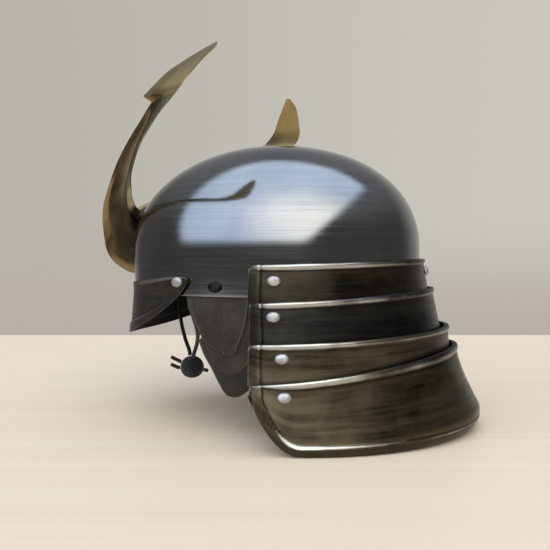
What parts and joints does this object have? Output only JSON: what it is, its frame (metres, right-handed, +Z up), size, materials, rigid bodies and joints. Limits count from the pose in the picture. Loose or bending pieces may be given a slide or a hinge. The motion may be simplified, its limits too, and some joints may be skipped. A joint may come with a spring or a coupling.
{
  "type": "kabuto helmet",
  "caption": "Samurai helmet with a plain steel bowl, brow plate, brass horn crest, riveted neck guard lames, leather ear flaps and a knotted chin cord.",
  "frame": {"origin": "on the ground under the middle of the bowl, on the plane that the bowl, brow plate and neck guard mirror in", "axes": "+Z up, -Y towards the front of the helmet, +X towards the wearer's left"},
  "size_m": [0.2918, 0.3495, 0.3055],
  "materials": {
    "blackened_steel": "polished and blackened, faint horizontal brushing",
    "lame_steel": "blackened, brushed, with brown and olive streaks and worn bright edges",
    "crest_brass": "dull antique brass, brown in the channels",
    "bright_rivet": "bright, hammered",
    "dark_rivet": "blackened",
    "flap_leather": "matte dark grey-brown",
    "black_cord": "matte black braid"
  },
  "bodies": {
    "root": {"bowl": "blackened_steel", "brow_plate": "blackened_steel", "brow_rivet_left": "bright_rivet", "brow_rivet_right": "bright_rivet", "chin_cord_left": "black_cord", "chin_cord_right": "black_cord", "chin_knot": "black_cord", "cord_end_lower": "black_cord", "cord_end_rear": "black_cord", "cord_end_upper": "black_cord", "crest": "crest_brass", "ear_flap_lower_left": "flap_leather", "ear_flap_lower_right": "flap_leather", "ear_flap_middle_left": "flap_leather", "ear_flap_middle_right": "flap_leather", "ear_flap_upper_left": "flap_leather", "ear_flap_upper_right": "flap_leather", "ear_rivet_left": "dark_rivet", "ear_rivet_right": "dark_rivet", "lame_rivet_1_left": "bright_rivet", "lame_rivet_1_right": "bright_rivet", "lame_rivet_2_left": "bright_rivet", "lame_rivet_2_right": "bright_rivet", "lame_rivet_3_left": "bright_rivet", "lame_rivet_3_right": "bright_rivet", "lame_rivet_4_left": "bright_rivet", "lame_rivet_4_right": "bright_rivet", "neck_lame_1": "lame_steel", "neck_lame_2": "lame_steel", "neck_lame_3": "lame_steel", "neck_lame_4": "lame_steel", "rear_rivet": "bright_rivet"}
  },
  "joints": []
}
